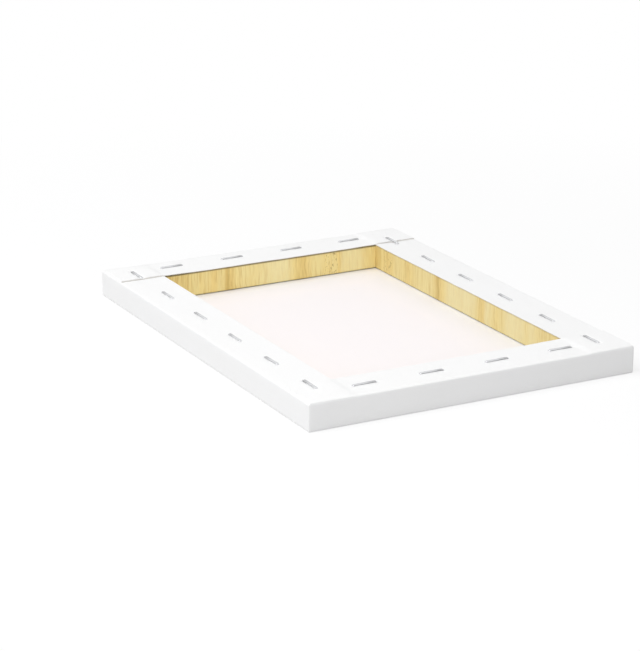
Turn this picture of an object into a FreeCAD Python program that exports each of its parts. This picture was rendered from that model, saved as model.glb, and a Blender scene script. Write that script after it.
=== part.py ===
import FreeCAD, Part
import math
import os
import re
import Sketcher

# A stretched artist's canvas, lying on its painted face with its back up.
# Millimetres. The origin is at the middle of the painted face, +Z is the back and +Y the top edge.
# Four stretcher bars meet in mitred tongue and slot corners, held by staples across the mitres.
# One sheet of canvas is drawn over them, turned over onto the back and stapled to each bar.

os.makedirs("parts", exist_ok=True)
doc = FreeCAD.newDocument("stretched_canvas")

# Driving sizes -------------------------------------------------------------------------------

SIZES = (
    ("canvas_width", 228.6, "short side, over the cloth"),
    ("canvas_height", 304.8, "long side, over the cloth"),
    ("cloth_thickness", 0.4, "primed cotton"),
    ("cloth_gap", 0.05, "between cloth and wood"),
    ("raw_edge_proud", 0.3, "how far the turnover's raw edge passes the bar's inner edge"),
    ("fold_rise", 0.45, "how far a folded corner stands above the turnover"),
    ("fold_edge_radius", 0.2, "round of a folded corner's upper edges"),
    ("bar_width", 31.5, "wood, across the bar"),
    ("bar_thickness", 16.8, "wood, front to back"),
    ("lip_width", 5.0, "the flat lip that carries the face of the cloth"),
    ("bevel_depth", 0.7, "how far the bar has fallen away from the cloth at its inner edge"),
    ("outer_edge_radius", 0.6, "the bar's two long outer edges"),
    ("inner_edge_radius", 0.8, "the bar's long inner edge, on the back"),
    ("corner_chamfer", 2.0, "taken off the outer tip of each mitre"),
    ("front_layer", 4.2, "wood in front of the tongues"),
    ("tongue_thickness", 4.2, "one tongue"),
    ("tongue_short", 1.5, "how far a tongue ends inside the frame's outer edge"),
    ("joint_gap", 0.1, "between a tongue and its slot"),
    ("mitre_gap", 0.1, "between the two mitres of a corner, along the bar"),
    ("crown_length", 17.0, "a staple, over its legs"),
    ("leg_length", 8.0, "a staple's legs, below the crown"),
    ("leg_point", 0.4, "how much shorter a leg's inner side is, at its chisel point"),
    ("wire_width", 1.9, "staple wire, across the crown"),
    ("wire_thickness", 0.8, "staple wire, through crown and leg"),
    ("staple_gap", 0.05, "all round a staple"),
    ("side_staple_count", 6, "on each long bar"),
    ("side_staple_pitch", 50.6, "between staples on a long bar"),
    ("side_staple_first", 22.2, "from the end of the canvas to the first staple of a long bar"),
    ("left_staple_inset", 16.3, "from the left side to its row"),
    ("right_staple_inset", 17.2, "from the right side to its row"),
    ("end_staple_count", 4, "on each short bar"),
    ("end_staple_pitch", 46.2, "between staples on a short bar"),
    ("end_staple_first", 46.2, "from the left side to the first staple of a short bar"),
    ("top_staple_inset", 13.6, "from the top edge to its row"),
    ("bottom_staple_inset", 16.8, "from the bottom edge to its row"),
    ("corner_staple_first", 15.0, "along the mitre, from the frame's corner to the first staple"),
    ("corner_staple_pitch", 15.0, "along the mitre, to the next one"),
    ("corner_staple_count", 2, "at each corner"),
    ("overcut", 2.0, "how far a cutting shape runs past what it cuts"),
)

NEAR = 0.01  # two places closer than this are the same place

sheet = doc.addObject("Spreadsheet::Sheet", "Sizes")
for row, (alias, value, note) in enumerate(SIZES, start=1):
    sheet.set(f"A{row}", note)
    sheet.set(f"B{row}", str(value))
    sheet.setAlias(f"B{row}", alias)
doc.recompute()

# Ways across the back, as X and Y.
TO_RIGHT, TO_TOP, TO_LEFT, TO_BOTTOM = (1, 0), (0, 1), (-1, 0), (0, -1)

# Lengths that follow from the sizes, as expressions.
COVER = "(cloth_thickness + cloth_gap)"
FRAME_WIDTH = f"(canvas_width - 2 * {COVER})"
FRAME_HEIGHT = f"(canvas_height - 2 * {COVER})"
BACK = f"(bar_thickness + 2 * {COVER})"
TURNOVER = f"(bar_width + {COVER} + raw_edge_proud)"
CLOTH_RADIUS = "(outer_edge_radius + cloth_gap)"
FIRST_TONGUE_BACK = "(front_layer + tongue_thickness)"
SECOND_TONGUE_BACK = f"({FIRST_TONGUE_BACK} + joint_gap + tongue_thickness)"


# Tools of the trade --------------------------------------------------------------------------

def sized(text):
    """An expression in the sheet's words, as FreeCAD reads it."""
    return re.sub(r"[a-z][a-z_]*", lambda word: "Sizes." + word.group(), text)


def own(body, role):
    """One of a body's own origin planes or axes."""
    return next(feature for feature in body.Origin.OriginFeatures if feature.Role == role)


def new_body(name, place=("0", "0", "0"), along=TO_RIGHT):
    """An empty body at a place given in expressions, turned about Z so that its X runs along a way."""
    body = doc.addObject("PartDesign::Body", name)
    turn = math.degrees(math.atan2(along[1], along[0]))
    body.Placement = FreeCAD.Placement(FreeCAD.Vector(), FreeCAD.Rotation(FreeCAD.Vector(0, 0, 1), turn))
    for axis, text in zip("xyz", place):
        body.setExpression(f".Placement.Base.{axis}", sized(text))
    return body


def outline(body, name, role, loops, level="0"):
    """A sketch of closed loops, whose points are pairs of expressions, at a level above a plane."""
    sketch = body.newObject("Sketcher::SketchObject", name)
    sketch.AttachmentSupport = [(own(body, role), "")]
    sketch.MapMode = "FlatFace"
    sketch.setExpression(".AttachmentOffset.Base.z", sized(level))
    for loop in loops:
        start, count = sketch.GeometryCount, len(loop)
        turns = [2 * math.pi * point / count for point in range(count + 1)]
        ring = [FreeCAD.Vector(math.cos(turn), math.sin(turn), 0) for turn in turns]
        sketch.addGeometry([Part.LineSegment(*pair) for pair in zip(ring, ring[1:])])
        for line, point in enumerate(loop, start=start):
            following = start + (line - start + 1) % count
            sketch.addConstraint(Sketcher.Constraint("Coincident", line, 2, following, 1))
            for way, now, text in zip(("DistanceX", "DistanceY"), ring[line - start], point):
                constraint = sketch.addConstraint(Sketcher.Constraint(way, -1, 1, line, 1, now))
                sketch.setExpression(f"Constraints[{constraint}]", sized(text))
    return sketch


def rectangle(low_x, low_y, high_x, high_y):
    """The loop of a rectangle between two corners."""
    return ((low_x, low_y), (high_x, low_y), (high_x, high_y), (low_x, high_y))


def both_ends(loop):
    """A loop at one end of a bar, and the same one mirrored at the other."""
    return loop, tuple((f"-({along})", across) for along, across in loop)


def pad(body, name, sketch, length, side="One side"):
    """A pad of a sketch, along its normal or to both sides of it."""
    feature = body.newObject("PartDesign::Pad", name)
    feature.Profile = sketch
    feature.SideType = side
    feature.setExpression("Length", sized(length))
    doc.recompute()
    return feature


def cut(body, name, sketch, depth=None, upward=False):
    """A pocket down or up from a sketch, by a depth or right through. It has to take wood away."""
    before = body.Shape.Volume
    feature = body.newObject("PartDesign::Pocket", name)
    feature.Profile = sketch
    feature.Reversed = upward
    if depth is None:
        feature.Type = "ThroughAll"
    else:
        feature.setExpression("Length", sized(depth))
    doc.recompute()
    if not body.Shape.Volume < before:
        raise ValueError(f"{body.Label}: {name} cuts nothing")
    return feature


def fillet(body, name, radius, wanted):
    """Rounds those edges of a body whose middle passes a test."""
    base = body.Tip
    edges = [f"Edge{i}" for i, edge in enumerate(base.Shape.Edges, 1) if wanted(edge.CenterOfMass)]
    feature = body.newObject("PartDesign::Fillet", name)
    feature.Base = (base, edges)
    feature.setExpression("Radius", sized(radius))
    doc.recompute()
    return feature


def row_of(body, name, feature, role, count, pitch):
    """Repeats a feature along one of the body's own axes."""
    pattern = body.newObject("PartDesign::LinearPattern", name)
    pattern.Originals = [feature]
    pattern.Direction = (own(body, role), [""])
    pattern.Mode = "Spacing"
    pattern.setExpression("Offset", sized(pitch))
    pattern.setExpression("Occurrences", sized(count))
    body.Tip = pattern
    doc.recompute()


def compound(name, members):
    """Several shapes as one object."""
    group = doc.addObject("Part::Compound", name)
    group.Links = members
    return group


def boolean(kind, name, base, tool):
    """A Part::Cut or Part::Fuse of two shapes."""
    result = doc.addObject(kind, name)
    result.Base = base
    result.Tool = tool
    return result


# Staples -------------------------------------------------------------------------------------
# Each set is made twice: once as the wire, and once as the hole that it sits in, which is larger
# by the staple gap all round.

def staple(body, gap, level="0"):
    """One staple: its crown along X and its legs down, with the crown's underside at z = 0."""
    outside = f"(crown_length / 2 + {gap})"
    inside = f"(crown_length / 2 - wire_thickness - {gap})"
    top = f"wire_thickness + {gap}"
    under_crown = f"-{gap}"
    point = f"-(leg_length + {gap})"
    short_side = f"-(leg_length - leg_point + {gap})"
    wire = (
        (f"-{outside}", point),
        (f"-{outside}", top),
        (outside, top),
        (outside, point),
        (inside, short_side),
        (inside, under_crown),
        (f"-{inside}", under_crown),
        (f"-{inside}", short_side),
    )
    sketch = outline(body, body.Name + "_wire", "XZ_Plane", (wire,), level)
    return pad(body, body.Name + "_bent", sketch, f"wire_width + 2 * {gap}", "Symmetric")


def tacking_row(name, gap, place, along, count, pitch):
    """A row of staples through the turnover, along one bar."""
    body = new_body(name, place, along)
    row_of(body, name + "_row", staple(body, gap), "X_Axis", count, pitch)
    return body


def mitre_pair(name, gap, place, across):
    """The staples across one mitre. Y runs along the mitre, from the frame's corner inwards."""
    body = new_body(name, place, across)
    first = staple(body, gap, "-corner_staple_first")
    row_of(body, name + "_row", first, "Y_Axis", "corner_staple_count", "corner_staple_pitch")
    return body


ON_SIDE = ("side_staple_count", "side_staple_pitch")
ON_END = ("end_staple_count", "end_staple_pitch")
HALF_WIDTH = "canvas_width / 2"
HALF_HEIGHT = "canvas_height / 2"
FIRST_ALONG_END = "end_staple_first - canvas_width / 2"
TACKING_ROWS = (
    (
        "top_bar_staples",
        (FIRST_ALONG_END, f"{HALF_HEIGHT} - top_staple_inset", BACK),
        TO_RIGHT,
        ON_END,
    ),
    (
        "bottom_bar_staples",
        (FIRST_ALONG_END, f"bottom_staple_inset - {HALF_HEIGHT}", BACK),
        TO_RIGHT,
        ON_END,
    ),
    (
        "left_bar_staples",
        (f"left_staple_inset - {HALF_WIDTH}", f"{HALF_HEIGHT} - side_staple_first", BACK),
        TO_BOTTOM,
        ON_SIDE,
    ),
    (
        "right_bar_staples",
        (f"{HALF_WIDTH} - right_staple_inset", f"side_staple_first - {HALF_HEIGHT}", BACK),
        TO_TOP,
        ON_SIDE,
    ),
)
# Each corner's name, the signs of its X and Y, and the way across its mitre.
CORNERS = (
    ("bottom_left", "-", "-", (1, -1)),
    ("bottom_right", "", "-", (1, 1)),
    ("top_right", "", "", (-1, 1)),
    ("top_left", "-", "", (-1, -1)),
)
CROWN_LEVEL = f"{COVER} + bar_thickness - wire_thickness - staple_gap"

sub_parts = []
holes = []
for label, place, along, (count, pitch) in TACKING_ROWS:
    sub_parts.append(tacking_row(label, "0", place, along, count, pitch))
    holes.append(tacking_row(label + "_holes", "staple_gap", place, along, count, pitch))

corner_pairs = []
for corner, sign_x, sign_y, across in CORNERS:
    place = (f"{sign_x}{FRAME_WIDTH} / 2", f"{sign_y}{FRAME_HEIGHT} / 2", CROWN_LEVEL)
    corner_pairs.append(mitre_pair(corner + "_pair", "0", place, across))
    holes.append(mitre_pair(corner + "_pair_holes", "staple_gap", place, across))
sub_parts.append(compound("corner_staples", corner_pairs))
staple_holes = compound("staple_holes", holes)


# Stretcher bars ------------------------------------------------------------------------------
# A bar lies along X with its outer edge at y = 0 and its front at z = 0. Its right end has the
# front tongue and the back slot, and its left end the front slot and the back tongue, so that each
# bar fits the next all the way round the frame.

def make_bar(label, length, place, along):
    """One bar: a moulded section, mitred at both ends, with a tongue and a slot at each."""
    body = new_body(label + "_blank", place, along)
    end = f"({length} / 2)"
    inner_back_edge = FreeCAD.Vector(0, sheet.bar_width, sheet.bar_thickness)
    section = (
        ("0", "0"),
        ("lip_width", "0"),
        ("bar_width", "bevel_depth"),
        ("bar_width", "bar_thickness"),
        ("0", "bar_thickness"),
    )
    sketch = outline(body, label + "_section", "YZ_Plane", (section,))
    pad(body, label + "_stock", sketch, length, "Symmetric")

    fillet(
        body,
        label + "_outer_rounds",
        "outer_edge_radius",
        lambda at: abs(at.x) < NEAR and abs(at.y) < NEAR,
    )
    fillet(
        body,
        label + "_inner_round",
        "inner_edge_radius",
        lambda at: at.distanceToPoint(inner_back_edge) < NEAR,
    )

    tip = "((corner_chamfer - mitre_gap / 2) / 2)"
    past_inner_edge = "bar_width + overcut"
    mitre = (
        (f"{end} - corner_chamfer - overcut", "-overcut"),
        (f"{end} - corner_chamfer + {tip}", tip),
        (f"{end} - mitre_gap / 2 - bar_width - overcut", past_inner_edge),
        (f"{end} + overcut", past_inner_edge),
        (f"{end} + overcut", "-overcut"),
    )
    front = outline(body, label + "_front_mitres", "XY_Plane", both_ends(mitre), "front_layer")
    cut(body, label + "_front_cut", front)
    back = outline(body, label + "_back_mitres", "XY_Plane", both_ends(mitre), SECOND_TONGUE_BACK)
    cut(body, label + "_back_cut", back, upward=True)

    slot = rectangle(f"{end} - bar_width", "-overcut", f"{end} + overcut", past_inner_edge)
    back_slot, front_slot = both_ends(slot)
    slot_height = "tongue_thickness + 2 * joint_gap"
    for name, loop, level in (
        ("front_slot", front_slot, f"{FIRST_TONGUE_BACK} + joint_gap"),
        ("back_slot", back_slot, f"{SECOND_TONGUE_BACK} + joint_gap"),
    ):
        sketch = outline(body, f"{label}_{name}", "XY_Plane", (loop,), level)
        cut(body, f"{label}_{name}_cut", sketch, slot_height)

    inner_corner = f"{end} - mitre_gap / 2 - bar_width"
    tongue_side = "bar_width - joint_gap"
    round_tongue = (
        (inner_corner, past_inner_edge),
        (inner_corner, tongue_side),
        (f"{end} - tongue_short", tongue_side),
        (f"{end} - tongue_short", "-overcut"),
        (f"{end} + overcut", "-overcut"),
        (f"{end} + overcut", past_inner_edge),
    )
    trims = outline(body, label + "_tongues", "XY_Plane", both_ends(round_tongue), SECOND_TONGUE_BACK)
    cut(body, label + "_tongues_cut", trims, f"{SECOND_TONGUE_BACK} - front_layer")
    return boolean("Part::Cut", label, body, staple_holes)


sub_parts += [
    make_bar("bottom_bar", FRAME_WIDTH, ("0", f"-{FRAME_HEIGHT} / 2", COVER), TO_RIGHT),
    make_bar("right_bar", FRAME_HEIGHT, (f"{FRAME_WIDTH} / 2", "0", COVER), TO_TOP),
    make_bar("top_bar", FRAME_WIDTH, ("0", f"{FRAME_HEIGHT} / 2", COVER), TO_LEFT),
    make_bar("left_bar", FRAME_HEIGHT, (f"-{FRAME_WIDTH} / 2", "0", COVER), TO_BOTTOM),
]


# Canvas --------------------------------------------------------------------------------------

def block(name, half_x, half_y, bottom, height, radius=None):
    """A block centred on the origin, with all its edges rounded if a radius is given."""
    body = new_body(name)
    loop = rectangle(f"-{half_x}", f"-{half_y}", half_x, half_y)
    pad(body, name + "_pad", outline(body, name + "_plan", "XY_Plane", (loop,), bottom), height)
    if radius:
        fillet(body, name + "_rounds", radius, lambda at: True)
    return body


def make_canvas(label):
    """The sheet as it lies on the frame: the face, four sides, four turnovers and four folds."""
    outside = block(
        "cloth_outside", "(canvas_width / 2)", "(canvas_height / 2)", "0", BACK,
        f"{CLOTH_RADIUS} + cloth_thickness",
    )
    inside = block(
        "cloth_inside",
        "(canvas_width / 2 - cloth_thickness)",
        "(canvas_height / 2 - cloth_thickness)",
        "cloth_thickness",
        "bar_thickness + 2 * cloth_gap",
        CLOTH_RADIUS,
    )
    opening = block(
        "cloth_opening",
        f"(canvas_width / 2 - {TURNOVER})",
        f"(canvas_height / 2 - {TURNOVER})",
        "bar_thickness / 2",
        "bar_thickness + overcut",
    )
    shell = boolean("Part::Cut", "cloth_shell", outside, compound("cloth_hollow", [inside, opening]))

    folds = new_body("cloth_folds")
    outer_x = f"(canvas_width / 2 - {CLOTH_RADIUS} - cloth_thickness)"
    outer_y = f"(canvas_height / 2 - {CLOTH_RADIUS} - cloth_thickness)"
    inner_x = f"(canvas_width / 2 - {TURNOVER})"
    inner_y = f"(canvas_height / 2 - {TURNOVER})"
    squares = [
        rectangle(f"{x}{inner_x}", f"{y}{inner_y}", f"{x}{outer_x}", f"{y}{outer_y}")
        for _, x, y, _ in CORNERS
    ]
    plan = outline(folds, "fold_plan", "XY_Plane", squares, f"{BACK} - cloth_thickness / 2")
    pad(folds, "fold_layers", plan, "cloth_thickness / 2 + fold_rise")
    top = folds.Shape.BoundBox.ZMax
    fillet(folds, "fold_rounds", "fold_edge_radius", lambda at: abs(at.z - top) < NEAR)

    folded = boolean("Part::Fuse", "folded_cloth", shell, folds)
    return boolean("Part::Cut", label, folded, staple_holes)


sub_parts.append(make_canvas("canvas"))


# Check and write -----------------------------------------------------------------------------

doc.recompute()
for thing in doc.Objects:
    if {"Invalid", "Error"} & set(thing.State):
        raise ValueError(f"{thing.Label} has failed: {thing.State}")
for sub_part in sub_parts:
    if sub_part.Shape.isNull() or not sub_part.Shape.isValid():
        raise ValueError(f"{sub_part.Label} has no valid shape")
for sub_part in sub_parts:
    sub_part.Shape.exportStep(f"parts/{sub_part.Label}.step")
    print(sub_part.Label, len(sub_part.Shape.Solids), "solids", round(sub_part.Shape.Volume, 1), "mm3")
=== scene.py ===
"""Looks of a stretched artist's canvas that lies on its painted face and shows its back.

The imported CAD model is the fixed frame. Its pine bars are kept and get a finish. The cotton sheet is made here
as one folded sheet of cloth, and the staples as bent wire.
"""

import math

import bmesh
import bpy
import numpy as np
from mathutils import Matrix, Vector


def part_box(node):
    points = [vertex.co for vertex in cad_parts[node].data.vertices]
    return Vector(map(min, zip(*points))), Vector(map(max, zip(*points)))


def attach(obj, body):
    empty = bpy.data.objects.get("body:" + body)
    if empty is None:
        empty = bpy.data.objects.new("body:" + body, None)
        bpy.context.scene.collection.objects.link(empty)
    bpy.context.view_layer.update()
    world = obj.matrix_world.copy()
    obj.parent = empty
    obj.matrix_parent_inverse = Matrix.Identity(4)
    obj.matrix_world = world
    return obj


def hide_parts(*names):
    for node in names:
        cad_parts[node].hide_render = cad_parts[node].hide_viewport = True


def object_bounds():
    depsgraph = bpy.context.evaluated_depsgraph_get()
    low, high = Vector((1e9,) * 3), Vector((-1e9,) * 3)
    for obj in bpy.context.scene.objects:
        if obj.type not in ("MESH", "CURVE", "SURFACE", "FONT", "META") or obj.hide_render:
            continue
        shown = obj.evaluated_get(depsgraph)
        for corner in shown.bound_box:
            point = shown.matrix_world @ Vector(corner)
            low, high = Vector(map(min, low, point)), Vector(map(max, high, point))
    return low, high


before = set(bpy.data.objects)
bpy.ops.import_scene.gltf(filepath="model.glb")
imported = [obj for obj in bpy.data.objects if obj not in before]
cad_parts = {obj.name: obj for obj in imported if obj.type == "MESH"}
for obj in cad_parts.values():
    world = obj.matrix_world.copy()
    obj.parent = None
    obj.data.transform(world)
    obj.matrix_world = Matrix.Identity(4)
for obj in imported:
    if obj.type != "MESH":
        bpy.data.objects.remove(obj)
cad_low, cad_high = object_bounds()

MM = 0.001

# ---------------------------------------------------------------- the maker's sizes

CLOTH = 0.40 * MM            # primed cotton, one layer
AIR = 0.05 * MM              # between cloth and wood
ROUND = 1.05 * MM            # outside round of the cloth where it turns over an arris
TURNOVER = 32.25 * MM        # cloth that comes back over the bars
FOLD_SETBACK = 0.75 * MM     # folded edge at a corner, in from the arris
FOLD_RISE = 0.75 * MM        # the long side's turnover and the tucked cloth under the end's turnover
EAR_RISE = 0.22 * MM         # the tucked ear of spare cloth at each corner
FOLD_CROWN = 0.50 * MM       # how much higher a crown lies where it holds the folded cloth
EDGE_STEP = 0.15 * MM        # how far the end's cut edge leans where it lies on the long side's turnover
SLACK = 0.10 * MM            # how far the turnover stands off between its staples
EDGE_CURL = 0.22 * MM        # how far the cut edge stands up
DENT = 0.13 * MM             # how deep a crown beds into the cloth
THREAD = 0.62 * MM           # from one thread of the weave to the next
SHADE_REACH = 24.0 * MM       # painted shade on the back of the cloth, out from two of the bars
CROWN = 17.0 * MM            # staple, leg to leg
WIRE_WIDE = 1.9 * MM
WIRE_THICK = 0.8 * MM
LEG = 8.0 * MM
WIRE_BEND = 0.9 * MM         # middle of the bend between crown and leg
HAND_SWAY = math.radians(1.6)   # how far a staple is turned from its row, at most
SIDE_STAPLES = 6             # in each long side
END_STAPLES = 4              # in each end

# the studio, in metres and watts, with the lens and the sensor in millimetres
CAMERA_PLACE = (-0.7389, -1.3444, 0.50435)
CAMERA_FORWARD = (0.44541, 0.84004, -0.30973)
CAMERA_LENS = 136.24
SENSOR = 36.0
FLOOR_REACH = 6.0
ROOM_LEVEL = 0.61            # how strongly the white room lights the canvas
KEY_PLACE, KEY_SIZE, KEY_POWER = (-1.30, 0.0, 1.90), 1.8, 30.4
CORNER_PLACE, CORNER_SIZE, CORNER_POWER = (-0.24, -0.78, 0.27), 0.30, 0.14

MESH_STEP = 6.0 * MM         # the cloth's mesh, away from edges and staples
FINE_REACH = 5.5 * MM        # smaller faces round a crown
HARD_EDGE = math.radians(38)    # faces that meet at more than this look sharp

BARS = ("top_bar", "bottom_bar", "left_bar", "right_bar")
HALF_WIDTH = cad_high.x
HALF_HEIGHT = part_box("canvas")[1].y
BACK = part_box("left_bar")[1].z + AIR + CLOTH

# the panels of the folded sheet, and its finishes in the order of the material slots
FACE, LONG_SIDE, SHORT_SIDE, BACK_FLAP, CUT_EDGE = range(5)
PRIMED, RAW, CUT = range(3)

# the tones of the wood, as linear red, green and blue
CREAM = (0.98, 0.87, 0.50)
STRAW = (0.97, 0.83, 0.42)
HONEY = (0.97, 0.80, 0.365)
AMBER = (0.95, 0.75, 0.32)
TAWNY = (0.80, 0.60, 0.23)
BROWN = (0.66, 0.47, 0.15)
UMBER = (0.38, 0.26, 0.09)
HAIR = (0.70, 0.49, 0.17)
# painted shade under the turnover's cut edge, on the bars' inner faces
SHADE_UNDER_TURNOVER = (0.20, 0.16, 0.08)


# ---------------------------------------------------------------- small helpers


def smooth(value, start, end):
    """0 before start, 1 after end, and an even curve between them."""
    t = np.clip((value - start) / (end - start), 0.0, 1.0)
    return t * t * (3.0 - 2.0 * t)


def new_object(name, mesh):
    """An object for a mesh whose place is already in its points."""
    made = bpy.data.objects.new(name, mesh)
    bpy.context.scene.collection.objects.link(made)
    return made


def look_along(forward, up):
    """The turn that points a lamp or camera along forward."""
    back = -Vector(forward).normalized()
    right = Vector(up).cross(back).normalized()
    return Matrix((right, back.cross(right), back)).transposed().to_4x4()


class Nodes:
    """A node tree under construction, and short calls that add and link nodes."""

    def __init__(self, tree):
        self.nodes = tree.nodes
        self.links = tree.links
        self.nodes.clear()

    def put(self, value, socket):
        """Links an output to a socket, or sets the socket."""
        if isinstance(value, bpy.types.NodeSocket):
            self.links.new(value, socket)
        else:
            socket.default_value = value

    def math(self, operation, a, b=0.0, c=0.0):
        node = self.nodes.new("ShaderNodeMath")
        node.operation = operation
        for value, socket in zip((a, b, c), node.inputs):
            self.put(value, socket)
        return node.outputs[0]

    def between(self, value, low, high, to_low=0.0, to_high=1.0):
        """A value between low and high, laid out between two others and held there past them."""
        node = self.nodes.new("ShaderNodeMapRange")
        self.put(value, node.inputs["Value"])
        self.put(low, node.inputs["From Min"])
        self.put(high, node.inputs["From Max"])
        self.put(to_low, node.inputs["To Min"])
        self.put(to_high, node.inputs["To Max"])
        return node.outputs[0]

    def looked_at(self):
        """1 where it is seen straight, in a mirror or through glass, and 0 where it only sheds light."""
        ray = self.nodes.new("ShaderNodeLightPath")
        share = self.math("MAXIMUM", ray.outputs["Is Camera Ray"], ray.outputs["Is Glossy Ray"])
        return self.math("MAXIMUM", share, ray.outputs["Is Transmission Ray"])


class Finish(Nodes):
    """A material under construction, with one surface shader."""

    def __init__(self, name, shader="ShaderNodeBsdfPrincipled"):
        self.material = bpy.data.materials.new(name)
        self.material.use_nodes = True
        super().__init__(self.material.node_tree)
        self.output = self.nodes.new("ShaderNodeOutputMaterial")
        self.surface = self.nodes.new(shader)
        self.links.new(self.surface.outputs[0], self.output.inputs["Surface"])

    def noise(self, place, scale, detail=2.0, roughness=0.5):
        node = self.nodes.new("ShaderNodeTexNoise")
        self.put(place, node.inputs["Vector"])
        self.put(scale, node.inputs["Scale"])
        self.put(detail, node.inputs["Detail"])
        self.put(roughness, node.inputs["Roughness"])
        return node.outputs["Fac"]

    def turned(self, place, turn=(0, 0, 0), size=(1, 1, 1), shift=(0, 0, 0)):
        """The same place turned, stretched and shifted, for a pattern with a direction."""
        node = self.nodes.new("ShaderNodeMapping")
        self.put(place, node.inputs["Vector"])
        node.inputs["Rotation"].default_value = turn
        node.inputs["Scale"].default_value = size
        node.inputs["Location"].default_value = shift
        return node.outputs[0]

    def tint(self, share, first, second, blend="MIX"):
        """The first colour with a share of the second."""
        node = self.nodes.new("ShaderNodeMix")
        node.data_type = "RGBA"
        node.blend_type = blend
        self.put(share, node.inputs[0])
        for value, socket in zip((first, second), node.inputs[6:8]):
            value = (*value, 1.0) if isinstance(value, tuple) and len(value) == 3 else value
            self.put(value, socket)
        return node.outputs[2]

    def ramp(self, value, stops):
        """A colour ramp. Stops are pairs of place and colour."""
        node = self.nodes.new("ShaderNodeValToRGB")
        self.put(value, node.inputs[0])
        row = node.color_ramp.elements
        while len(row) < len(stops):
            row.new(0.5)
        for step, (place, colour) in zip(row, stops):
            step.position = place
            step.color = (*colour, 1.0)
        return node.outputs[0]

    def parts(self, place):
        node = self.nodes.new("ShaderNodeSeparateXYZ")
        self.put(place, node.inputs[0])
        return node.outputs

    def join(self, x, y, z=0.0):
        node = self.nodes.new("ShaderNodeCombineXYZ")
        for value, socket in zip((x, y, z), node.inputs):
            self.put(value, socket)
        return node.outputs[0]

    def own_place(self):
        """The place on the object, in metres."""
        return self.nodes.new("ShaderNodeTexCoord").outputs["Object"]

    def cloth_place(self):
        """The place on the flat sheet, in metres."""
        node = self.nodes.new("ShaderNodeUVMap")
        node.uv_map = "cloth_metres"
        return node.outputs[0]

    def relief(self, height, strength, deep):
        """Fine relief in the surface, this deep where height goes from 0 to 1."""
        node = self.nodes.new("ShaderNodeBump")
        node.inputs["Strength"].default_value = strength
        node.inputs["Distance"].default_value = deep
        self.put(height, node.inputs["Height"])
        self.links.new(node.outputs[0], self.surface.inputs["Normal"])


# ---------------------------------------------------------------- finishes


def plain_weave(finish, place, pitch):
    """The height of a plain weave, 0 to 1, with threads that wander and swell a little."""
    wander = finish.noise(place, 95.0, 3.0)
    drift = finish.between(wander, 0.3, 0.7, -0.35 * pitch, 0.35 * pitch)
    x, y, _ = finish.parts(place)
    warp = finish.math("SINE", finish.math("MULTIPLY", finish.math("ADD", x, drift), math.pi / pitch))
    weft = finish.math("SINE", finish.math("MULTIPLY", finish.math("SUBTRACT", y, drift), math.pi / pitch))
    crossing = finish.math("MULTIPLY_ADD", finish.math("MULTIPLY", warp, weft), 0.5, 0.5)
    gap = finish.math("MINIMUM", finish.math("ABSOLUTE", warp), finish.math("ABSOLUTE", weft))
    rounded = finish.math("POWER", gap, 0.6)
    return finish.math("MULTIPLY_ADD", rounded, 0.45, finish.math("MULTIPLY", crossing, 0.55))


def slubs(finish, place):
    """Thicker stretches of single threads, in both directions of the cloth."""
    warp = finish.noise(finish.turned(place, size=(1500, 55, 1)), 1.0, 1.0)
    weft = finish.noise(finish.turned(place, size=(60, 1400, 1), shift=(7.3, 2.1, 0)), 1.0, 1.0)
    thick = finish.math("MAXIMUM", warp, weft)
    return finish.between(thick, 0.66, 0.82)


def primed_cotton():
    """White acrylic primer rolled over cotton duck: the weave shows through, fuller where the primer is thin."""
    finish = Finish("primed_cotton")
    place = finish.cloth_place()
    weave = plain_weave(finish, place, THREAD)
    full = finish.between(finish.noise(place, 34.0, 3.0, 0.6), 0.35, 0.7, 0.45, 1.0)
    orange_peel = finish.noise(place, 900.0, 3.0, 0.6)
    raised = finish.math("MULTIPLY", weave, full)
    raised = finish.math("MULTIPLY_ADD", orange_peel, 0.35, raised)
    raised = finish.math("MULTIPLY_ADD", slubs(finish, place), 0.5, raised)
    # Painted shade: the white is darker in the hollows of the weave.
    white = finish.tint(weave, (0.905, 0.905, 0.903), (0.938, 0.938, 0.936))
    cloud = finish.between(finish.noise(place, 11.0, 4.0, 0.55), 0.35, 0.65)
    finish.put(finish.tint(cloud, white, (0.925, 0.926, 0.928)), finish.surface.inputs["Base Color"])
    finish.put(finish.between(full, 0.45, 1.0, 0.74, 0.88), finish.surface.inputs["Roughness"])
    finish.surface.inputs["Specular IOR Level"].default_value = 0.25
    finish.relief(raised, 0.45, 0.12 * MM)
    return finish.material


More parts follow.
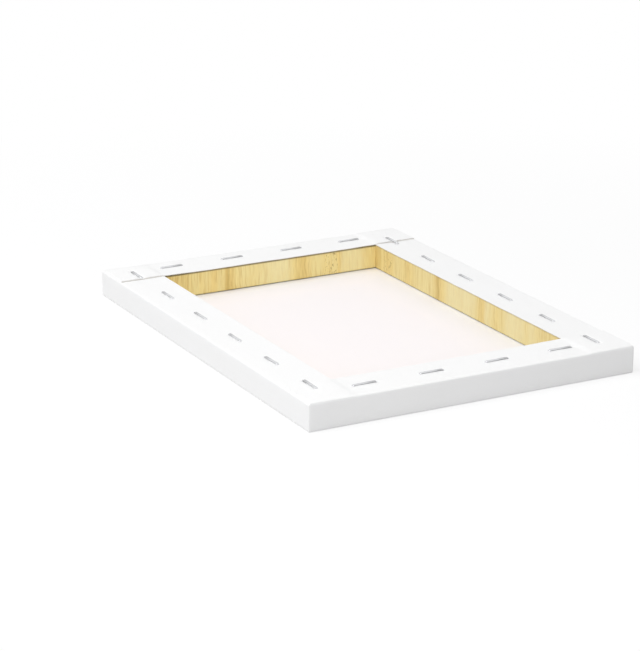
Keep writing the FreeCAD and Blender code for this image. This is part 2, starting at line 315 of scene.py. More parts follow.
def raw_cotton():
    """The unprimed side: warm white, an open weave, a few seed flecks, and painted shade beside two of the bars.
    """
    finish = Finish("raw_cotton")
    place = finish.cloth_place()
    weave = plain_weave(finish, place, THREAD)
    lint = finish.noise(place, 1600.0, 2.0, 0.7)
    raised = finish.math("MULTIPLY_ADD", lint, 0.4, weave)
    raised = finish.math("MULTIPLY_ADD", slubs(finish, place), 0.8, raised)
    # Painted shade: the warm white is darker in the hollows of the weave.
    warm = finish.tint(weave, (0.966, 0.921, 0.929), (0.996, 0.957, 0.967))
    cloud = finish.between(finish.noise(place, 9.0, 4.0, 0.6), 0.35, 0.65)
    warm = finish.tint(cloud, warm, (0.981, 0.940, 0.949))
    speck = finish.noise(finish.turned(place, shift=(3, 5, 0)), 420.0, 1.0)
    speck = finish.between(speck, 0.79, 0.84)
    warm = finish.tint(finish.math("MULTIPLY", speck, 0.5), warm, (0.62, 0.47, 0.33))
    across, along, _ = finish.parts(place)
    right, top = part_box("right_bar")[0].x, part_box("top_bar")[0].y
    # Painted shade: the cloth is darkened, most in red, within reach of the right and the top bar.
    darkening = finish.math(
        "MAXIMUM",
        finish.between(across, right - SHADE_REACH, right, 0.0, 1.0),
        finish.between(along, top - SHADE_REACH, top, 0.0, 1.0),
    )
    warm = finish.tint(darkening, warm, (0.900, 0.940, 0.970), "MULTIPLY")
    finish.put(warm, finish.surface.inputs["Base Color"])
    finish.surface.inputs["Roughness"].default_value = 0.95
    finish.surface.inputs["Specular IOR Level"].default_value = 0.1
    finish.surface.inputs["Sheen Weight"].default_value = 0.12
    finish.relief(raised, 0.6, 0.16 * MM)
    return finish.material


def cut_cotton():
    """The cut edge of the cloth: unbleached thread ends, their tan partly the thread's own and partly painted
    shadow under the end turnovers' edges; along the long sides the edge turns light grey.
    """
    finish = Finish("cut_cotton")
    place = finish.cloth_place()
    ends = finish.noise(place, 1900.0, 2.0, 0.6)
    darkening = finish.between(finish.noise(place, 60.0, 2.0), 0.35, 0.65)
    thread = finish.tint(finish.between(ends, 0.35, 0.65), (0.36, 0.30, 0.20), (0.62, 0.54, 0.40))
    thread = finish.tint(finish.math("MULTIPLY", darkening, 0.4), thread, (0.33, 0.28, 0.21))
    # Painted shadow: the edge stays dark along the end bars and turns light grey along the long sides.
    from_middle = finish.math("ABSOLUTE", finish.parts(place)[0])
    opening = HALF_WIDTH - TURNOVER
    lighter_off_end_bars = finish.between(from_middle, opening, opening + 4 * MM, 0.0, 0.90)
    finish.put(finish.tint(lighter_off_end_bars, thread, (0.76, 0.75, 0.73)), finish.surface.inputs["Base Color"])
    finish.surface.inputs["Roughness"].default_value = 0.95
    finish.surface.inputs["Specular IOR Level"].default_value = 0.1
    finish.relief(ends, 0.8, 0.15 * MM)
    return finish.material


def knot_hearts(finish, place, straight_along, up, along, knots):
    """The dark hearts of the knots, and the place along the bar with the figure bent round them."""
    hearts = 0.0
    for knot_along, knot_up, reach in knots:
        off_along = finish.math("DIVIDE", finish.math("SUBTRACT", straight_along, knot_along), reach)
        off_up = finish.math("DIVIDE", finish.math("SUBTRACT", up, knot_up), reach)
        off_along_squared = finish.math("POWER", off_along, 2.0)
        away = finish.math("MULTIPLY_ADD", off_up, finish.math("MULTIPLY", off_up, 0.5), off_along_squared)
        along = finish.math("ADD", along, finish.between(away, 0.0, 4.0, reach * 0.9, 0.0))
        ragged = finish.noise(finish.turned(place, size=(900, 900, 900)), 1.0, 2.0)
        heart = finish.between(finish.math("ADD", away, ragged), 0.5, 1.5, 0.85, 0.0)
        hearts = finish.math("MAXIMUM", heart, hearts)
    return hearts, along


def birds_eyes(finish, place, straight_along, middle, reach):
    """Fine dark flecks, as far as reach from a middle along the bar."""
    off_middle = finish.math("ABSOLUTE", finish.math("SUBTRACT", straight_along, middle))
    nearby = finish.between(off_middle, reach * 0.6, reach, 1.0, 0.0)
    squiggles = finish.noise(finish.turned(place, size=(1150, 40, 480)), 1.0, 1.0)
    return finish.math("MULTIPLY", finish.between(squiggles, 0.60, 0.70, 0.0, 0.70), nearby)


def pine(name, quarter_turn, board, painted_arris_shade, bands, knots=(), flecked=None):
    """Planed pine, sawn so that its figure runs across the bar.

    Board is the tint of the whole plank, and painted arris shade how dark the painted shade is along the top of
    the inner face, under the turnover's cut edge. Bands are pairs of place along the bar and tone. Knots are place
    along, place up and reach. Flecked is the middle and reach of a stretch with bird's-eye flecks.
    """
    finish = Finish(name)
    place = finish.turned(finish.own_place(), turn=(0, 0, -quarter_turn * math.pi / 2))
    straight_along, across, up = finish.parts(place)
    sway = finish.noise(finish.turned(place, size=(30, 30, 48)), 1.0, 2.0)
    along = finish.math("ADD", straight_along, finish.between(sway, 0.25, 0.75, -1.1 * MM, 1.1 * MM))
    hearts, along = knot_hearts(finish, place, straight_along, up, along, knots)
    if flecked:
        hearts = finish.math("MAXIMUM", birds_eyes(finish, place, straight_along, *flecked), hearts)
    first, last = bands[0][0], bands[-1][0]
    stops = [((spot - first) / (last - first), tone) for spot, tone in bands]
    wood = finish.ramp(finish.between(along, first, last), stops)
    busy = finish.between(finish.parts(wood)[1], CREAM[1], HONEY[1], 0.30, 1.0)
    figure = finish.join(along, across, up)

    lines = finish.noise(finish.turned(figure, size=(420, 14, 26)), 1.0, 3.0, 0.65)
    late = finish.math("MULTIPLY", finish.between(lines, 0.50, 0.68, 0.0, 0.70), busy)
    wood = finish.tint(late, wood, TAWNY)
    early = finish.math("MULTIPLY", finish.between(lines, 0.42, 0.28, 0.0, 0.35), busy)
    wood = finish.tint(early, wood, CREAM)
    hairs = finish.noise(finish.turned(figure, size=(1050, 30, 60)), 1.0, 2.0, 0.6)
    hairs = finish.math("MULTIPLY", finish.between(hairs, 0.54, 0.68, 0.0, 0.60), busy)
    wood = finish.tint(hairs, wood, HAIR)
    mottle = finish.noise(finish.turned(figure, size=(330, 30, 210)), 1.0, 2.0)
    wood = finish.tint(finish.between(mottle, 0.45, 0.75, 0.0, 0.22), wood, AMBER)
    fibre = finish.noise(finish.turned(figure, size=(2600, 60, 110)), 1.0, 2.0, 0.6)
    pores = finish.ramp(fibre, ((0.3, (0.55, 0.5, 0.42)), (0.62, (1.0, 1.0, 1.0))))
    wood = finish.tint(0.14, wood, pores, "MULTIPLY")
    wood = finish.tint(hearts, wood, UMBER)
    wood = finish.tint(1.0, wood, board, "MULTIPLY")

    # Painted shade: a dark band along the top of the inner face, under the turnover's cut edge.
    arris_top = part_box("left_bar")[1].z
    arris = finish.between(up, arris_top - 1.1 * MM, arris_top - 0.5 * MM, 0.0, painted_arris_shade)
    finish.put(finish.tint(arris, wood, SHADE_UNDER_TURNOVER), finish.surface.inputs["Base Color"])
    finish.put(finish.between(lines, 0.3, 0.7, 0.66, 0.52), finish.surface.inputs["Roughness"])
    finish.surface.inputs["Specular IOR Level"].default_value = 0.3
    finish.relief(finish.math("MULTIPLY_ADD", fibre, 0.6, lines), 0.35, 0.12 * MM)
    return finish.material


def staple_steel():
    """Galvanised wire: dull zinc with a fine spangle, and painted shade darkening the crown toward one bend."""
    finish = Finish("staple_steel")
    place = finish.own_place()
    spangle = finish.noise(place, 2400.0, 2.0, 0.6)
    drawn = finish.noise(finish.turned(place, size=(5200, 5200, 5200)), 1.0, 1.0)
    zinc = finish.tint(finish.between(spangle, 0.35, 0.65), (0.61, 0.615, 0.63), (0.74, 0.745, 0.755))
    along_wire = finish.nodes.new("ShaderNodeAttribute")
    along_wire.attribute_name = "along_wire"
    along = along_wire.outputs["Fac"]
    # Painted shade: the crown darkens toward its second bend.
    shaded_end = finish.between(along, 0.50, 0.68)
    shaded_end = finish.math("MULTIPLY", shaded_end, finish.between(along, 0.78, 0.70, 0.10, 0.48))
    zinc = finish.tint(shaded_end, zinc, (0.30, 0.30, 0.305))
    finish.put(zinc, finish.surface.inputs["Base Color"])
    finish.surface.inputs["Metallic"].default_value = 1.0
    finish.put(finish.between(spangle, 0.3, 0.7, 0.34, 0.52), finish.surface.inputs["Roughness"])
    finish.relief(finish.math("ADD", spangle, drawn), 0.3, 0.03 * MM)
    return finish.material


def white_sweep():
    """The studio floor: white paper that keeps a light shadow."""
    finish = Finish("white_sweep", "ShaderNodeMixShader")
    paper = finish.nodes.new("ShaderNodeBsdfDiffuse")
    glow = finish.nodes.new("ShaderNodeEmission")
    share = finish.looked_at()
    finish.put(finish.tint(share, (0.68, 0.68, 0.685), (0.97, 0.97, 0.975)), paper.inputs["Color"])
    away = finish.nodes.new("ShaderNodeVectorMath")
    away.operation = "LENGTH"
    finish.put(finish.own_place(), away.inputs[0])
    whiter = finish.between(away.outputs["Value"], 0.22, 0.60, 0.70, 1.0)
    finish.put(finish.math("MULTIPLY", share, whiter), finish.surface.inputs[0])
    finish.links.new(paper.outputs[0], finish.surface.inputs[1])
    finish.links.new(glow.outputs[0], finish.surface.inputs[2])
    return finish.material


# ---------------------------------------------------------------- the studio


def make_camera():
    """A long lens, low over the near left corner of the canvas."""
    lens = bpy.data.cameras.new("camera")
    lens.lens = CAMERA_LENS
    lens.sensor_width = SENSOR
    lens.clip_end = 20.0
    camera = bpy.data.objects.new("camera", lens)
    camera.matrix_world = Matrix.Translation(CAMERA_PLACE) @ look_along(CAMERA_FORWARD, (0.0, 0.0, 1.0))
    bpy.context.scene.collection.objects.link(camera)
    bpy.context.scene.camera = camera


def make_floor():
    """A wide white floor, level with the painted face."""
    mesh = bpy.data.meshes.new("floor")
    corners = [(x * FLOOR_REACH, y * FLOOR_REACH, 0.0) for x, y in ((-1, -1), (1, -1), (1, 1), (-1, 1))]
    mesh.from_pydata(corners, [], [(0, 1, 2, 3)])
    mesh.materials.append(white_sweep())
    floor = new_object("floor", mesh)


def make_lamp(name, place, target, size, power, beam=180.0):
    """A square soft box that faces its target, with a grid where the beam is less than 180 degrees."""
    soft = bpy.data.lights.new(name, "AREA")
    soft.size = size
    soft.energy = power
    soft.spread = math.radians(beam)
    lamp = bpy.data.objects.new(name, soft)
    lamp.matrix_world = Matrix.Translation(place) @ look_along(Vector(target) - Vector(place), (0.0, 1.0, 0.0))
    bpy.context.scene.collection.objects.link(lamp)


def make_lamps():
    """A large soft box high on the left, and a small one low in front of the near corner."""
    near_corner = (-HALF_WIDTH, -HALF_HEIGHT, 0.0)
    make_lamp("key_box", KEY_PLACE, (0.0, 0.0, 0.0), KEY_SIZE, KEY_POWER)
    make_lamp("corner_box", CORNER_PLACE, near_corner, CORNER_SIZE, CORNER_POWER, beam=90.0)


def make_room():
    """An even white room, which sheds less light than it shows."""
    world = bpy.data.worlds.new("room")
    bpy.context.scene.world = world
    world.use_nodes = True
    room = Nodes(world.node_tree)
    walls = room.nodes.new("ShaderNodeBackground")
    room.put((1.0, 1.0, 1.0, 1.0), walls.inputs["Color"])
    room.put(room.between(room.looked_at(), 0.0, 1.0, ROOM_LEVEL, 1.0), walls.inputs["Strength"])
    output = room.nodes.new("ShaderNodeOutputWorld")
    room.links.new(walls.outputs[0], output.inputs[0])


# ---------------------------------------------------------------- where the staples are


def staple_rows():
    """For each bar's staples: the middle of each crown's top, and the way the row runs.

    The first and last staple of a side go through the folded cloth of the corner, so they lie higher.
    """
    rows = {}
    for bar, count in zip(BARS, (END_STAPLES, END_STAPLES, SIDE_STAPLES, SIDE_STAPLES)):
        node = bar + "_staples"
        low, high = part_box(node)
        middle = (low + high) / 2
        along = Vector((1, 0, 0)) if count == END_STAPLES else Vector((0, 1, 0))
        reach = (high - low).dot(along) - CROWN
        first = Vector((middle.x, middle.y, high.z)) - along * reach / 2
        places = [first + along * reach * step / (count - 1) for step in range(count)]
        if count == SIDE_STAPLES:
            places[0].z += FOLD_CROWN
            places[-1].z += FOLD_CROWN
        rows[node] = places, along
    return rows


# ---------------------------------------------------------------- the cotton sheet


def lines_from(half, coarse):
    """Where the cloth's mesh lines cross one side, from the middle outwards and mirrored."""
    edge = half - TURNOVER
    inside = np.linspace(0.0, edge - 2.0 * MM, max(2, round(edge / coarse)))
    at_edge = [edge - 0.5 * MM, edge - EDGE_STEP, edge, edge + 0.25 * MM, edge + 1.0 * MM]
    flap = np.linspace(edge + 2.6 * MM, half - ROUND - 1.2 * MM, 13)
    turn = half - ROUND * np.array([1.0, 0.72, 0.45, 0.2, 0.0])
    outwards = np.concatenate([inside, at_edge, flap, turn])
    return np.concatenate([-outwards[:0:-1], outwards])


def lines_up():
    """Where the cloth's mesh lines cross a side, from the face to the back."""
    turn = ROUND * np.array([0.0, 0.2, 0.45, 0.72, 1.0])
    middle = np.linspace(ROUND, BACK - ROUND, 8)[1:-1]
    return np.concatenate([turn, middle, (BACK - turn)[::-1]])


class FlatSheet:
    """The sheet as a sharp-edged open box of two layers, before it is rounded, with each face's panel noted."""

    def __init__(self):
        self.xs, self.ys = lines_from(HALF_WIDTH, MESH_STEP), lines_from(HALF_HEIGHT, MESH_STEP)
        self.zs = lines_up()
        self.last = len(self.xs) - 1, len(self.ys) - 1, len(self.zs) - 1
        self.mesh = bmesh.new()
        self.inner_layer = self.mesh.verts.layers.float.new("inner")
        self.panel_layer = self.mesh.faces.layers.int.new("panel")
        self.points = {}

    def corner(self, i, j, k, inner):
        """The point where three mesh lines meet, on the outer or the inner layer."""
        key = (i, j, k, inner)
        if key not in self.points:
            self.points[key] = self.mesh.verts.new((self.xs[i], self.ys[j], self.zs[k]))
            self.points[key][self.inner_layer] = float(inner)
        return self.points[key]

    def quad(self, corners, panel, turned, fold_edge=False):
        """One square of cloth, primed outside and raw inside."""
        for inner in (0, 1):
            ring = [self.corner(*c, inner) for c in corners]
            if turned != bool(inner):
                ring.reverse()
            made = self.mesh.faces.new(ring)
            made[self.panel_layer] = panel
            outside = CUT if fold_edge else PRIMED
            made.material_index = RAW if inner else outside

    def lay_face_and_flaps(self):
        """The painted face and the turnovers. Returns which squares of the back are covered."""
        last_x, last_y, last_z = self.last
        free_x, free_y = HALF_WIDTH - TURNOVER, HALF_HEIGHT - TURNOVER
        covered = {}
        for i in range(last_x):
            for j in range(last_y):
                around = ((i, j), (i + 1, j), (i + 1, j + 1), (i, j + 1))
                self.quad([(a, b, 0) for a, b in around], FACE, True)
                off_x = abs(self.xs[i] + self.xs[i + 1]) / 2
                off_y = abs(self.ys[j] + self.ys[j + 1]) / 2
                covered[i, j] = off_x > free_x or off_y > free_y
                if covered[i, j]:
                    fold_edge = free_y - EDGE_STEP < off_y < free_y
                    self.quad([(a, b, last_z) for a, b in around], BACK_FLAP, False, fold_edge)
        return covered

    def lay_sides(self):
        """The four sides, from the face to the back."""
        last_x, last_y, last_z = self.last
        for k in range(last_z):
            for i in range(last_x):
                around = ((i, k), (i + 1, k), (i + 1, k + 1), (i, k + 1))
                self.quad([(a, 0, c) for a, c in around], SHORT_SIDE, False)
                self.quad([(a, last_y, c) for a, c in around], SHORT_SIDE, True)
            for j in range(last_y):
                around = ((j, k), (j + 1, k), (j + 1, k + 1), (j, k + 1))
                self.quad([(0, b, c) for b, c in around], LONG_SIDE, True)
                self.quad([(last_x, b, c) for b, c in around], LONG_SIDE, False)

    def close_cut_edge(self, covered):
        """The thickness of the cloth, all along the edge of the turnovers."""
        sides = (
            ((0, 0), (1, 0), (0, -1)),
            ((1, 0), (1, 1), (1, 0)),
            ((1, 1), (0, 1), (0, 1)),
            ((0, 1), (0, 0), (-1, 0)),
        )
        top = self.last[2]
        for (i, j), flap in covered.items():
            if not flap:
                continue
            for start, end, (over_x, over_y) in sides:
                if covered.get((i + over_x, j + over_y), True):
                    continue
                a = (i + start[0], j + start[1], top)
                b = (i + end[0], j + end[1], top)
                ring = [self.corner(*b, 0), self.corner(*a, 0), self.corner(*a, 1), self.corner(*b, 1)]
                made = self.mesh.faces.new(ring)
                made[self.panel_layer] = CUT_EDGE
                made.material_index = CUT


def flat_box_mesh():
    """The whole sheet, still flat-sided and sharp."""
    sheet = FlatSheet()
    covered = sheet.lay_face_and_flaps()
    sheet.lay_sides()
    sheet.close_cut_edge(covered)
    return sheet.mesh


def beside_crown(point, crown, along):
    """Whether a point is near enough to a crown to need smaller faces."""
    off = point - crown
    aside = abs(off.x * along.y) + abs(off.y * along.x)
    return abs(off.dot(along)) < CROWN / 2 + FINE_REACH and aside < FINE_REACH


def refine_at_staples(mesh, rows):
    """Smaller faces round each crown, on the outer layer only."""
    inner_layer = mesh.verts.layers.float["inner"]
    panel_layer = mesh.faces.layers.int["panel"]
    wanted = set()
    for face in mesh.faces:
        if face[panel_layer] != BACK_FLAP or face.verts[0][inner_layer] > 0.5:
            continue
        middle = face.calc_center_median()
        for places, along in rows.values():
            if any(beside_crown(middle, place, along) for place in places):
                wanted.update(face.edges)
    edges = [edge for edge in mesh.edges if edge in wanted]
    bmesh.ops.subdivide_edges(mesh, edges=edges, cuts=4, use_grid_fill=True)


def nearest_crown(points, rows):
    """How far each point is, in plan, from the nearest crown's middle line, and how high that crown lies."""
    nearest = np.full(len(points), 1.0)
    height = np.zeros(len(points))
    for places, along in rows.values():
        for place in places:
            off = points[:, :2] - np.array(place[:2])
            way = np.array(along[:2])
            run = np.clip(off @ way, -CROWN / 2, CROWN / 2)
            away = np.hypot(*(off - run[:, None] * way).T)
            height = np.where(away < nearest, place.z - places[1].z, height)
            nearest = np.minimum(nearest, away)
    return nearest, height


def ripple(place, long_wave, short_wave, start):
    """A slow uneven wave, -1 to 1."""
    long = np.sin(2 * math.pi * place / long_wave + start)
    short = np.sin(2 * math.pi * place / short_wave + 2.7 * start)
    return 0.6 * long + 0.4 * short


def corner_fold(points):
    """How far the folded cloth at the corners lifts the visible layer.

    The long sides are turned over first. Each end is turned over them, with the spare cloth of the corner tucked
    under it as an ear along the arris.
    """
    from_side = HALF_WIDTH - np.abs(points[:, 0])
    from_end = HALF_HEIGHT - np.abs(points[:, 1])
    on_back = points[:, 2] > BACK - 1e-6
    on_end = from_end < 1e-6
    folded = smooth(from_side, FOLD_SETBACK - 0.2 * MM, FOLD_SETBACK + 0.2 * MM)
    run = np.where(on_back, BACK + from_end, points[:, 2])
    ear = EAR_RISE * smooth(run - from_side, -2.0 * MM, 2.5 * MM) * smooth(run, 1.0 * MM, 9.0 * MM)
    under = FOLD_RISE * smooth(TURNOVER - from_side, -2.0 * MM, 3.5 * MM) * on_back
    end_flap = np.where(on_back, from_end < TURNOVER + 1e-6, on_end)
    soft_start = smooth(run, BACK - 1.5 * MM, BACK + 3.5 * MM)
    return end_flap * folded * (ear + under * soft_start)


def slack_and_curl(points):
    """The turnover stands off a little between its staples, most at its cut edge."""
    from_side = HALF_WIDTH - np.abs(points[:, 0])
    from_end = HALF_HEIGHT - np.abs(points[:, 1])
    on_back = points[:, 2] > BACK - 1e-6
    end_flap = from_end < TURNOVER + 1e-6
    inwards = np.where(end_flap, from_end, from_side)
    along = np.where(end_flap, points[:, 0], points[:, 1])
    side = np.where(end_flap, np.sign(points[:, 1]) * 1.3, np.sign(points[:, 0]) * 0.7 + 0.4)
    wave = 0.5 + 0.5 * ripple(along, 88 * MM, 41 * MM, side)
    puff = SLACK * smooth(inwards, 2 * MM, 9 * MM) * wave
    free_edge = smooth(inwards, TURNOVER - 11 * MM, TURNOVER)
    open_part = np.where(end_flap, smooth(from_side, TURNOVER - 9 * MM, TURNOVER + 4 * MM), 1.0)
    wavy = 0.5 + 0.5 * ripple(along, 67 * MM, 29 * MM, side + 2)
    curl = EDGE_CURL * free_edge * open_part * (0.35 + 0.65 * wavy)
    return on_back * (puff + curl)


def side_ripple(points):
    """The sides are pulled in very slightly at each staple."""
    on_side = (points[:, 2] > ROUND) & (points[:, 2] < BACK - ROUND)
    along = points[:, 0] + points[:, 1]
    height = np.sin(math.pi * np.clip(points[:, 2] / BACK, 0, 1))
    return on_side * height * 0.05 * MM * (1 + ripple(along, 51 * MM, 23 * MM, 0.9))


def cloth_plan(points):
    """The cut edge wanders by the width of a thread."""
    moved = points.copy()
    on_back = points[:, 2] > BACK - 1e-6
    for axis, half in ((0, HALF_WIDTH), (1, HALF_HEIGHT)):
        other = points[:, 1 - axis]
        near = 1 - smooth(np.abs(np.abs(points[:, axis]) - (half - TURNOVER)), 0.3 * MM, 3.0 * MM)
        slow = 0.11 * MM * ripple(other, 19 * MM, 6.3 * MM, 1.1 + axis)
        quick = 0.05 * MM * ripple(other, 3.7 * MM, 2.3 * MM, 0.3)
        moved[:, axis] += on_back * near * (slow + quick) * np.sign(points[:, axis])
    return moved


def corner_length(out):
    """The length that an outward step is measured by: round over an arris, squarer at the four upright corners."""
    in_plan = np.sqrt(np.sqrt(out[:, 0] ** 4 + out[:, 1] ** 4))
    return np.hypot(in_plan, out[:, 2])


def shape_sheet(mesh, rows):
    """Rounds the box over the bars and gives each layer its place."""
    mesh.verts.ensure_lookup_table()
    points = np.array([v.co for v in mesh.verts])
    inner_layer = mesh.verts.layers.float["inner"]
    inner = np.array([v[inner_layer] for v in mesh.verts]) > 0.5
    crown, crown_height = nearest_crown(points, rows)
    on_back = points[:, 2] > BACK - 1e-6
    held = (1 - smooth(crown, 1.2 * MM, 5.5 * MM)) * on_back
    pinched = (1 - smooth(crown, 0.9 * MM, 2.8 * MM)) * on_back
    loose = (slack_and_curl(points) + side_ripple(points)) * (1 - held)
    fold = corner_fold(points)
    folded = fold * (1 - pinched) + np.minimum(crown_height, fold) * pinched
    lift = loose + folded - DENT * pinched
    lining_lift = np.maximum(loose, 0.0) + folded * smooth(crown, 4 * MM, 11 * MM)
    planned = cloth_plan(points)
    core = np.array([HALF_WIDTH, HALF_HEIGHT, BACK]) - ROUND
    core_low = np.array([-core[0], -core[1], ROUND])
    middle = np.clip(planned, core_low, core)
    out = planned - middle
    out /= corner_length(out)[:, None]
    away = np.where(inner, ROUND - CLOTH + lining_lift, ROUND + lift)
    placed = middle + out * away[:, None]
    for vertex, place in zip(mesh.verts, placed):
        vertex.co = place


def unfold(mesh):
    """The cloth's own map, in metres on the flat sheet, so that the threads run on over every turn."""
    panel_layer = mesh.faces.layers.int["panel"]
    inner_layer = mesh.verts.layers.float["inner"]
    flat_map = mesh.loops.layers.uv.new("cloth_metres")
    for face in mesh.faces:
        panel = face[panel_layer]
        middle = face.calc_center_median()
        on_end_flap = abs(middle.y) > HALF_HEIGHT - TURNOVER
        for loop in face.loops:
            x, y, z = loop.vert.co
            side, end = math.copysign(1, middle.x), math.copysign(1, middle.y)
            if panel == LONG_SIDE:
                x = side * (HALF_WIDTH + z)
            elif panel == SHORT_SIDE:
                y = end * (HALF_HEIGHT + z)
            elif panel in (BACK_FLAP, CUT_EDGE):
                past_edge = CLOTH if panel == CUT_EDGE and loop.vert[inner_layer] > 0.5 else 0.0
                if on_end_flap:
                    y = end * (2 * HALF_HEIGHT + BACK - abs(y) + past_edge)
                else:
                    x = side * (2 * HALF_WIDTH + BACK - abs(x) + past_edge)
            loop[flat_map].uv = (x, y)


def make_canvas(rows):
    """One sheet of cotton: painted face, four sides, four turnovers and the folded corners."""
    mesh = flat_box_mesh()
    refine_at_staples(mesh, rows)
    unfold(mesh)
    shape_sheet(mesh, rows)
    made = bpy.data.meshes.new("stretched_cotton")
    mesh.to_mesh(made)
    mesh.free()
    for finish in (primed_cotton(), raw_cotton(), cut_cotton()):
        made.materials.append(finish)
    made.polygons.foreach_set("use_smooth", [True] * len(made.polygons))
    made.set_sharp_from_angle(angle=HARD_EDGE)
    sheet = new_object("stretched_cotton", made)
    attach(sheet, "root")
    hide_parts("canvas")


# ---------------------------------------------------------------- the staples


class Tree(Nodes):
    """A geometry node tree under construction, with named inputs."""

    def __init__(self, name):
        self.group = bpy.data.node_groups.new(name, "GeometryNodeTree")
        super().__init__(self.group)
        self.entry = self.nodes.new("NodeGroupInput")
        self.exit = self.nodes.new("NodeGroupOutput")
        self.group.interface.new_socket("Geometry", in_out="OUTPUT", socket_type="NodeSocketGeometry")

    def size(self, name, kind="NodeSocketFloat"):
        """A named input of the tree."""
        self.group.interface.new_socket(name, in_out="INPUT", socket_type=kind)
        return self.entry.outputs[name]

    def add(self, kind, settings=(), **inputs):
        """A node with its settings, and its inputs given by name with _ for a space."""
        node = self.nodes.new(kind)
        for key, value in dict(settings).items():
            setattr(node, key, value)
        for key, value in inputs.items():
            socket = next(s for s in node.inputs if s.name == key.replace("_", " ") and s.enabled)
            self.put(value, socket)
        return node.outputs[0]

    def place(self, x=0.0, y=0.0, z=0.0):
        return self.add("ShaderNodeCombineXYZ", X=x, Y=y, Z=z)

    def finish(self, geometry, material):
        """Real geometry with its finish, as every tree here ends."""
        real = self.add("GeometryNodeRealizeInstances", Geometry=geometry)
        done = self.add("GeometryNodeSetMaterial", Geometry=real, Material=material)
        self.links.new(done, self.exit.inputs[0])


def staple_tree():
    """A row of wire staples: a U of flat wire, set out along a line, each turned a hair by hand."""
    tree = Tree("wire_staples")
    count = tree.size("Staples", "NodeSocketInt")
    first = tree.size("First Crown", "NodeSocketVector")
    pitch = tree.size("Pitch", "NodeSocketVector")
    turn = tree.size("Row Turn")
    crown = tree.size("Crown Length")
    leg = tree.size("Leg Length")
    wide = tree.size("Wire Width")
    thick = tree.size("Wire Thickness")
    bend = tree.size("Bend Radius")
    sway = tree.size("Hand Sway")
    end_lift = tree.size("End Lift")
    seed = tree.size("Seed", "NodeSocketInt")
    wire_finish = tree.size("Wire Finish", "NodeSocketMaterial")

    half = tree.math("MULTIPLY", tree.math("SUBTRACT", crown, thick), 0.5)
    minus_half = tree.math("MULTIPLY", half, -1.0)
    top = tree.math("MULTIPLY", thick, -0.5)
    tip = tree.math("MULTIPLY", leg, -1.0)
    corners = (
        tree.place(minus_half, 0.0, tip),
        tree.place(minus_half, 0.0, top),
        tree.place(half, 0.0, top),
        tree.place(half, 0.0, tip),
    )
    pick = tree.nodes.new("GeometryNodeIndexSwitch")
    pick.data_type = "VECTOR"
    while len(pick.index_switch_items) < len(corners):
        pick.index_switch_items.new()
    tree.links.new(tree.add("GeometryNodeInputIndex"), pick.inputs[0])
    for corner, socket in zip(corners, pick.inputs[1:]):
        tree.links.new(corner, socket)
    string = tree.add("GeometryNodeMeshLine", Count=4)
    string = tree.add("GeometryNodeSetPosition", Geometry=string, Position=pick.outputs[0])
    path = tree.add("GeometryNodeMeshToCurve", Mesh=string)
    path = tree.add("GeometryNodeFilletCurve", Curve=path, Radius=bend)
    wire = tree.add("GeometryNodeCurvePrimitiveQuadrilateral", Width=thick, Height=wide)
    wire = tree.add("GeometryNodeFilletCurve", Curve=wire, Radius=tree.math("MULTIPLY", thick, 0.42))
    for node in tree.nodes:
        if node.bl_idname == "GeometryNodeFilletCurve":
            node.mode = "POLY"
            next(s for s in node.inputs if s.name == "Count").default_value = 4
    along_wire = tree.add("GeometryNodeSplineParameter")
    path = tree.add("GeometryNodeStoreNamedAttribute", Geometry=path, Name="along_wire", Value=along_wire)
    staple = tree.add("GeometryNodeCurveToMesh", Curve=path, Profile_Curve=wire, Fill_Caps=True)

    spots = tree.add("GeometryNodeMeshLine", Count=count, Start_Location=first, Offset=pitch)
    number = tree.add("GeometryNodeInputIndex")
    is_first = tree.math("LESS_THAN", number, 0.5)
    is_last = tree.math("GREATER_THAN", number, tree.math("SUBTRACT", count, 1.5))
    raised = tree.math("MULTIPLY", tree.math("ADD", is_first, is_last), end_lift)
    spots = tree.add("GeometryNodeSetPosition", Geometry=spots, Offset=tree.place(0.0, 0.0, raised))
    least = tree.math("SUBTRACT", turn, sway)
    most = tree.math("ADD", turn, sway)
    yaw = tree.nodes.new("FunctionNodeRandomValue")
    for name, value in (("Min", least), ("Max", most), ("Seed", seed)):
        socket = next(s for s in yaw.inputs if s.name == name and s.enabled)
        tree.links.new(value, socket)
    yaw_out = next(s for s in yaw.outputs if s.enabled)
    turned = tree.add("FunctionNodeEulerToRotation", Euler=tree.place(0.0, 0.0, yaw_out))
    row = tree.add("GeometryNodeInstanceOnPoints", Points=spots, Instance=staple, Rotation=turned)
    tree.finish(row, wire_finish)
    return tree.group


def grown(name, group, values):
    """Runs a node tree on an empty mesh and keeps the result as a plain mesh."""
    made = new_object(name, bpy.data.meshes.new(name))
    modifier = made.modifiers.new(name, "NODES")
    modifier.node_group = group
    for socket in group.interface.items_tree:
        if socket.in_out == "INPUT":
            modifier[socket.identifier] = values[socket.name]
    bpy.context.view_layer.update()
    result = made.evaluated_get(bpy.context.evaluated_depsgraph_get())
    mesh = bpy.data.meshes.new_from_object(result)
    made.modifiers.remove(modifier)
    made.data = mesh
    return made


def make_staples(rows, steel):
    """One row of wire staples for each bar, in place of its solids."""
    group = staple_tree()
    for seed, (node, (places, along)) in enumerate(rows.items(), start=3):
        pitch = places[2] - places[1]
        row = grown("wire_" + node, group, {
            "Staples": len(places),
            "First Crown": places[1] - pitch,
            "Pitch": pitch,
            "Row Turn": math.atan2(along.y, along.x),
            "Crown Length": CROWN,
            "Leg Length": LEG,
            "Wire Width": WIRE_WIDE,
            "Wire Thickness": WIRE_THICK,
            "Bend Radius": WIRE_BEND,
            "Hand Sway": HAND_SWAY,
            "End Lift": places[0].z - places[1].z,
            "Seed": seed,
            "Wire Finish": steel,
        })
        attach(row, "root")
        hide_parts(node)


# ---------------------------------------------------------------- the bars


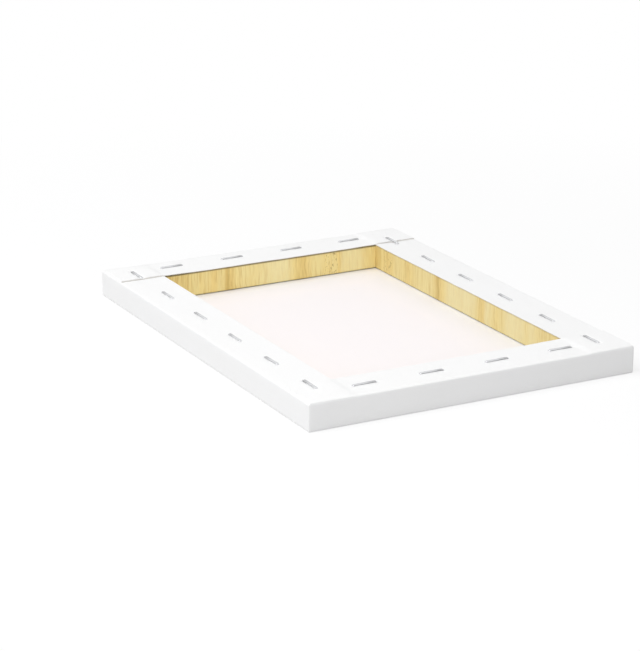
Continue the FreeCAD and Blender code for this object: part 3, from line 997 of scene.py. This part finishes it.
def finish_bars():
    """Each bar is cut from its own board, so each has its own figure."""
    end = HALF_WIDTH
    side = HALF_HEIGHT
    top = pine("pine_top_bar", 0, (1.0, 0.99, 0.93), 0.75, (
        (-end, HONEY), (-0.064, HONEY), (-0.058, STRAW), (-0.054, HONEY), (-0.049, STRAW),
        (-0.0455, AMBER), (-0.043, AMBER), (-0.040, STRAW), (-0.0370, HONEY), (-0.0355, TAWNY), (-0.0335, BROWN),
        (-0.0322, AMBER), (-0.0306, TAWNY), (-0.0290, HONEY), (-0.024, STRAW), (-0.014, STRAW),
        (0.002, CREAM), (0.012, CREAM), (0.017, HONEY), (0.0235, AMBER), (0.0265, AMBER), (0.032, STRAW),
        (0.038, STRAW), (0.044, HONEY), (0.049, STRAW), (0.0515, HONEY), (0.0535, AMBER), (0.0560, CREAM),
        (0.070, CREAM), (0.076, STRAW), (end, AMBER),
    ), flecked=(0.0465, 0.0062))
    bottom = pine("pine_bottom_bar", 0, (0.95, 0.94, 0.92), 0.45, (
        (-end, HONEY), (-0.070, STRAW), (-0.047, AMBER), (-0.041, STRAW), (-0.012, CREAM), (0.006, HONEY),
        (0.013, TAWNY), (0.017, HONEY), (0.049, STRAW), (0.061, AMBER), (0.068, HONEY), (end, STRAW),
    ), knots=((-0.024, 0.0110, 0.0026),))
    left = pine("pine_left_bar", 1, (0.93, 0.92, 0.90), 0.45, (
        (-side, STRAW), (-0.104, HONEY), (-0.097, AMBER), (-0.089, HONEY), (-0.055, CREAM), (-0.022, STRAW),
        (-0.014, TAWNY), (-0.009, HONEY), (0.019, STRAW), (0.047, CREAM), (0.060, AMBER), (0.066, HONEY),
        (0.098, STRAW), (side, HONEY),
    ), knots=((0.081, 0.0075, 0.0024),))
    right = pine("pine_right_bar", 1, (0.82, 0.81, 0.785), 0.12, (
        (-side, STRAW), (-0.091, STRAW), (-0.085, CREAM), (-0.078, STRAW), (-0.072, CREAM), (-0.056, CREAM),
        (-0.051, STRAW), (-0.042, HONEY), (-0.036, STRAW), (-0.030, CREAM), (-0.026, AMBER), (-0.022, AMBER),
        (-0.017, STRAW), (-0.013, CREAM), (0.020, CREAM), (0.026, HONEY), (0.0315, AMBER), (0.0335, BROWN),
        (0.0355, TAWNY), (0.0380, HONEY), (0.042, STRAW), (0.062, STRAW), (0.070, HONEY), (0.0745, AMBER),
        (0.079, HONEY), (0.090, STRAW), (0.096, HONEY), (0.102, AMBER), (0.107, HONEY), (0.113, HONEY),
        (0.119, AMBER), (side, AMBER),
    ), flecked=(0.1020, 0.0075))
    for bar, wood in zip(BARS, (top, bottom, left, right)):
        give_finish(bar, wood)


def give_finish(node, material):
    """Puts a finish on a kept CAD node."""
    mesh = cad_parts[node].data
    mesh.materials.clear()
    mesh.materials.append(material)


# ---------------------------------------------------------------- everything together


def main():
    """The studio, then the canvas from its cloth to its bars."""
    bpy.context.scene.view_settings.view_transform = "Standard"
    make_camera()
    make_room()
    make_lamps()
    make_floor()
    rows = staple_rows()
    steel = staple_steel()
    make_canvas(rows)
    make_staples(rows, steel)
    give_finish("corner_staples", steel)
    finish_bars()


main()
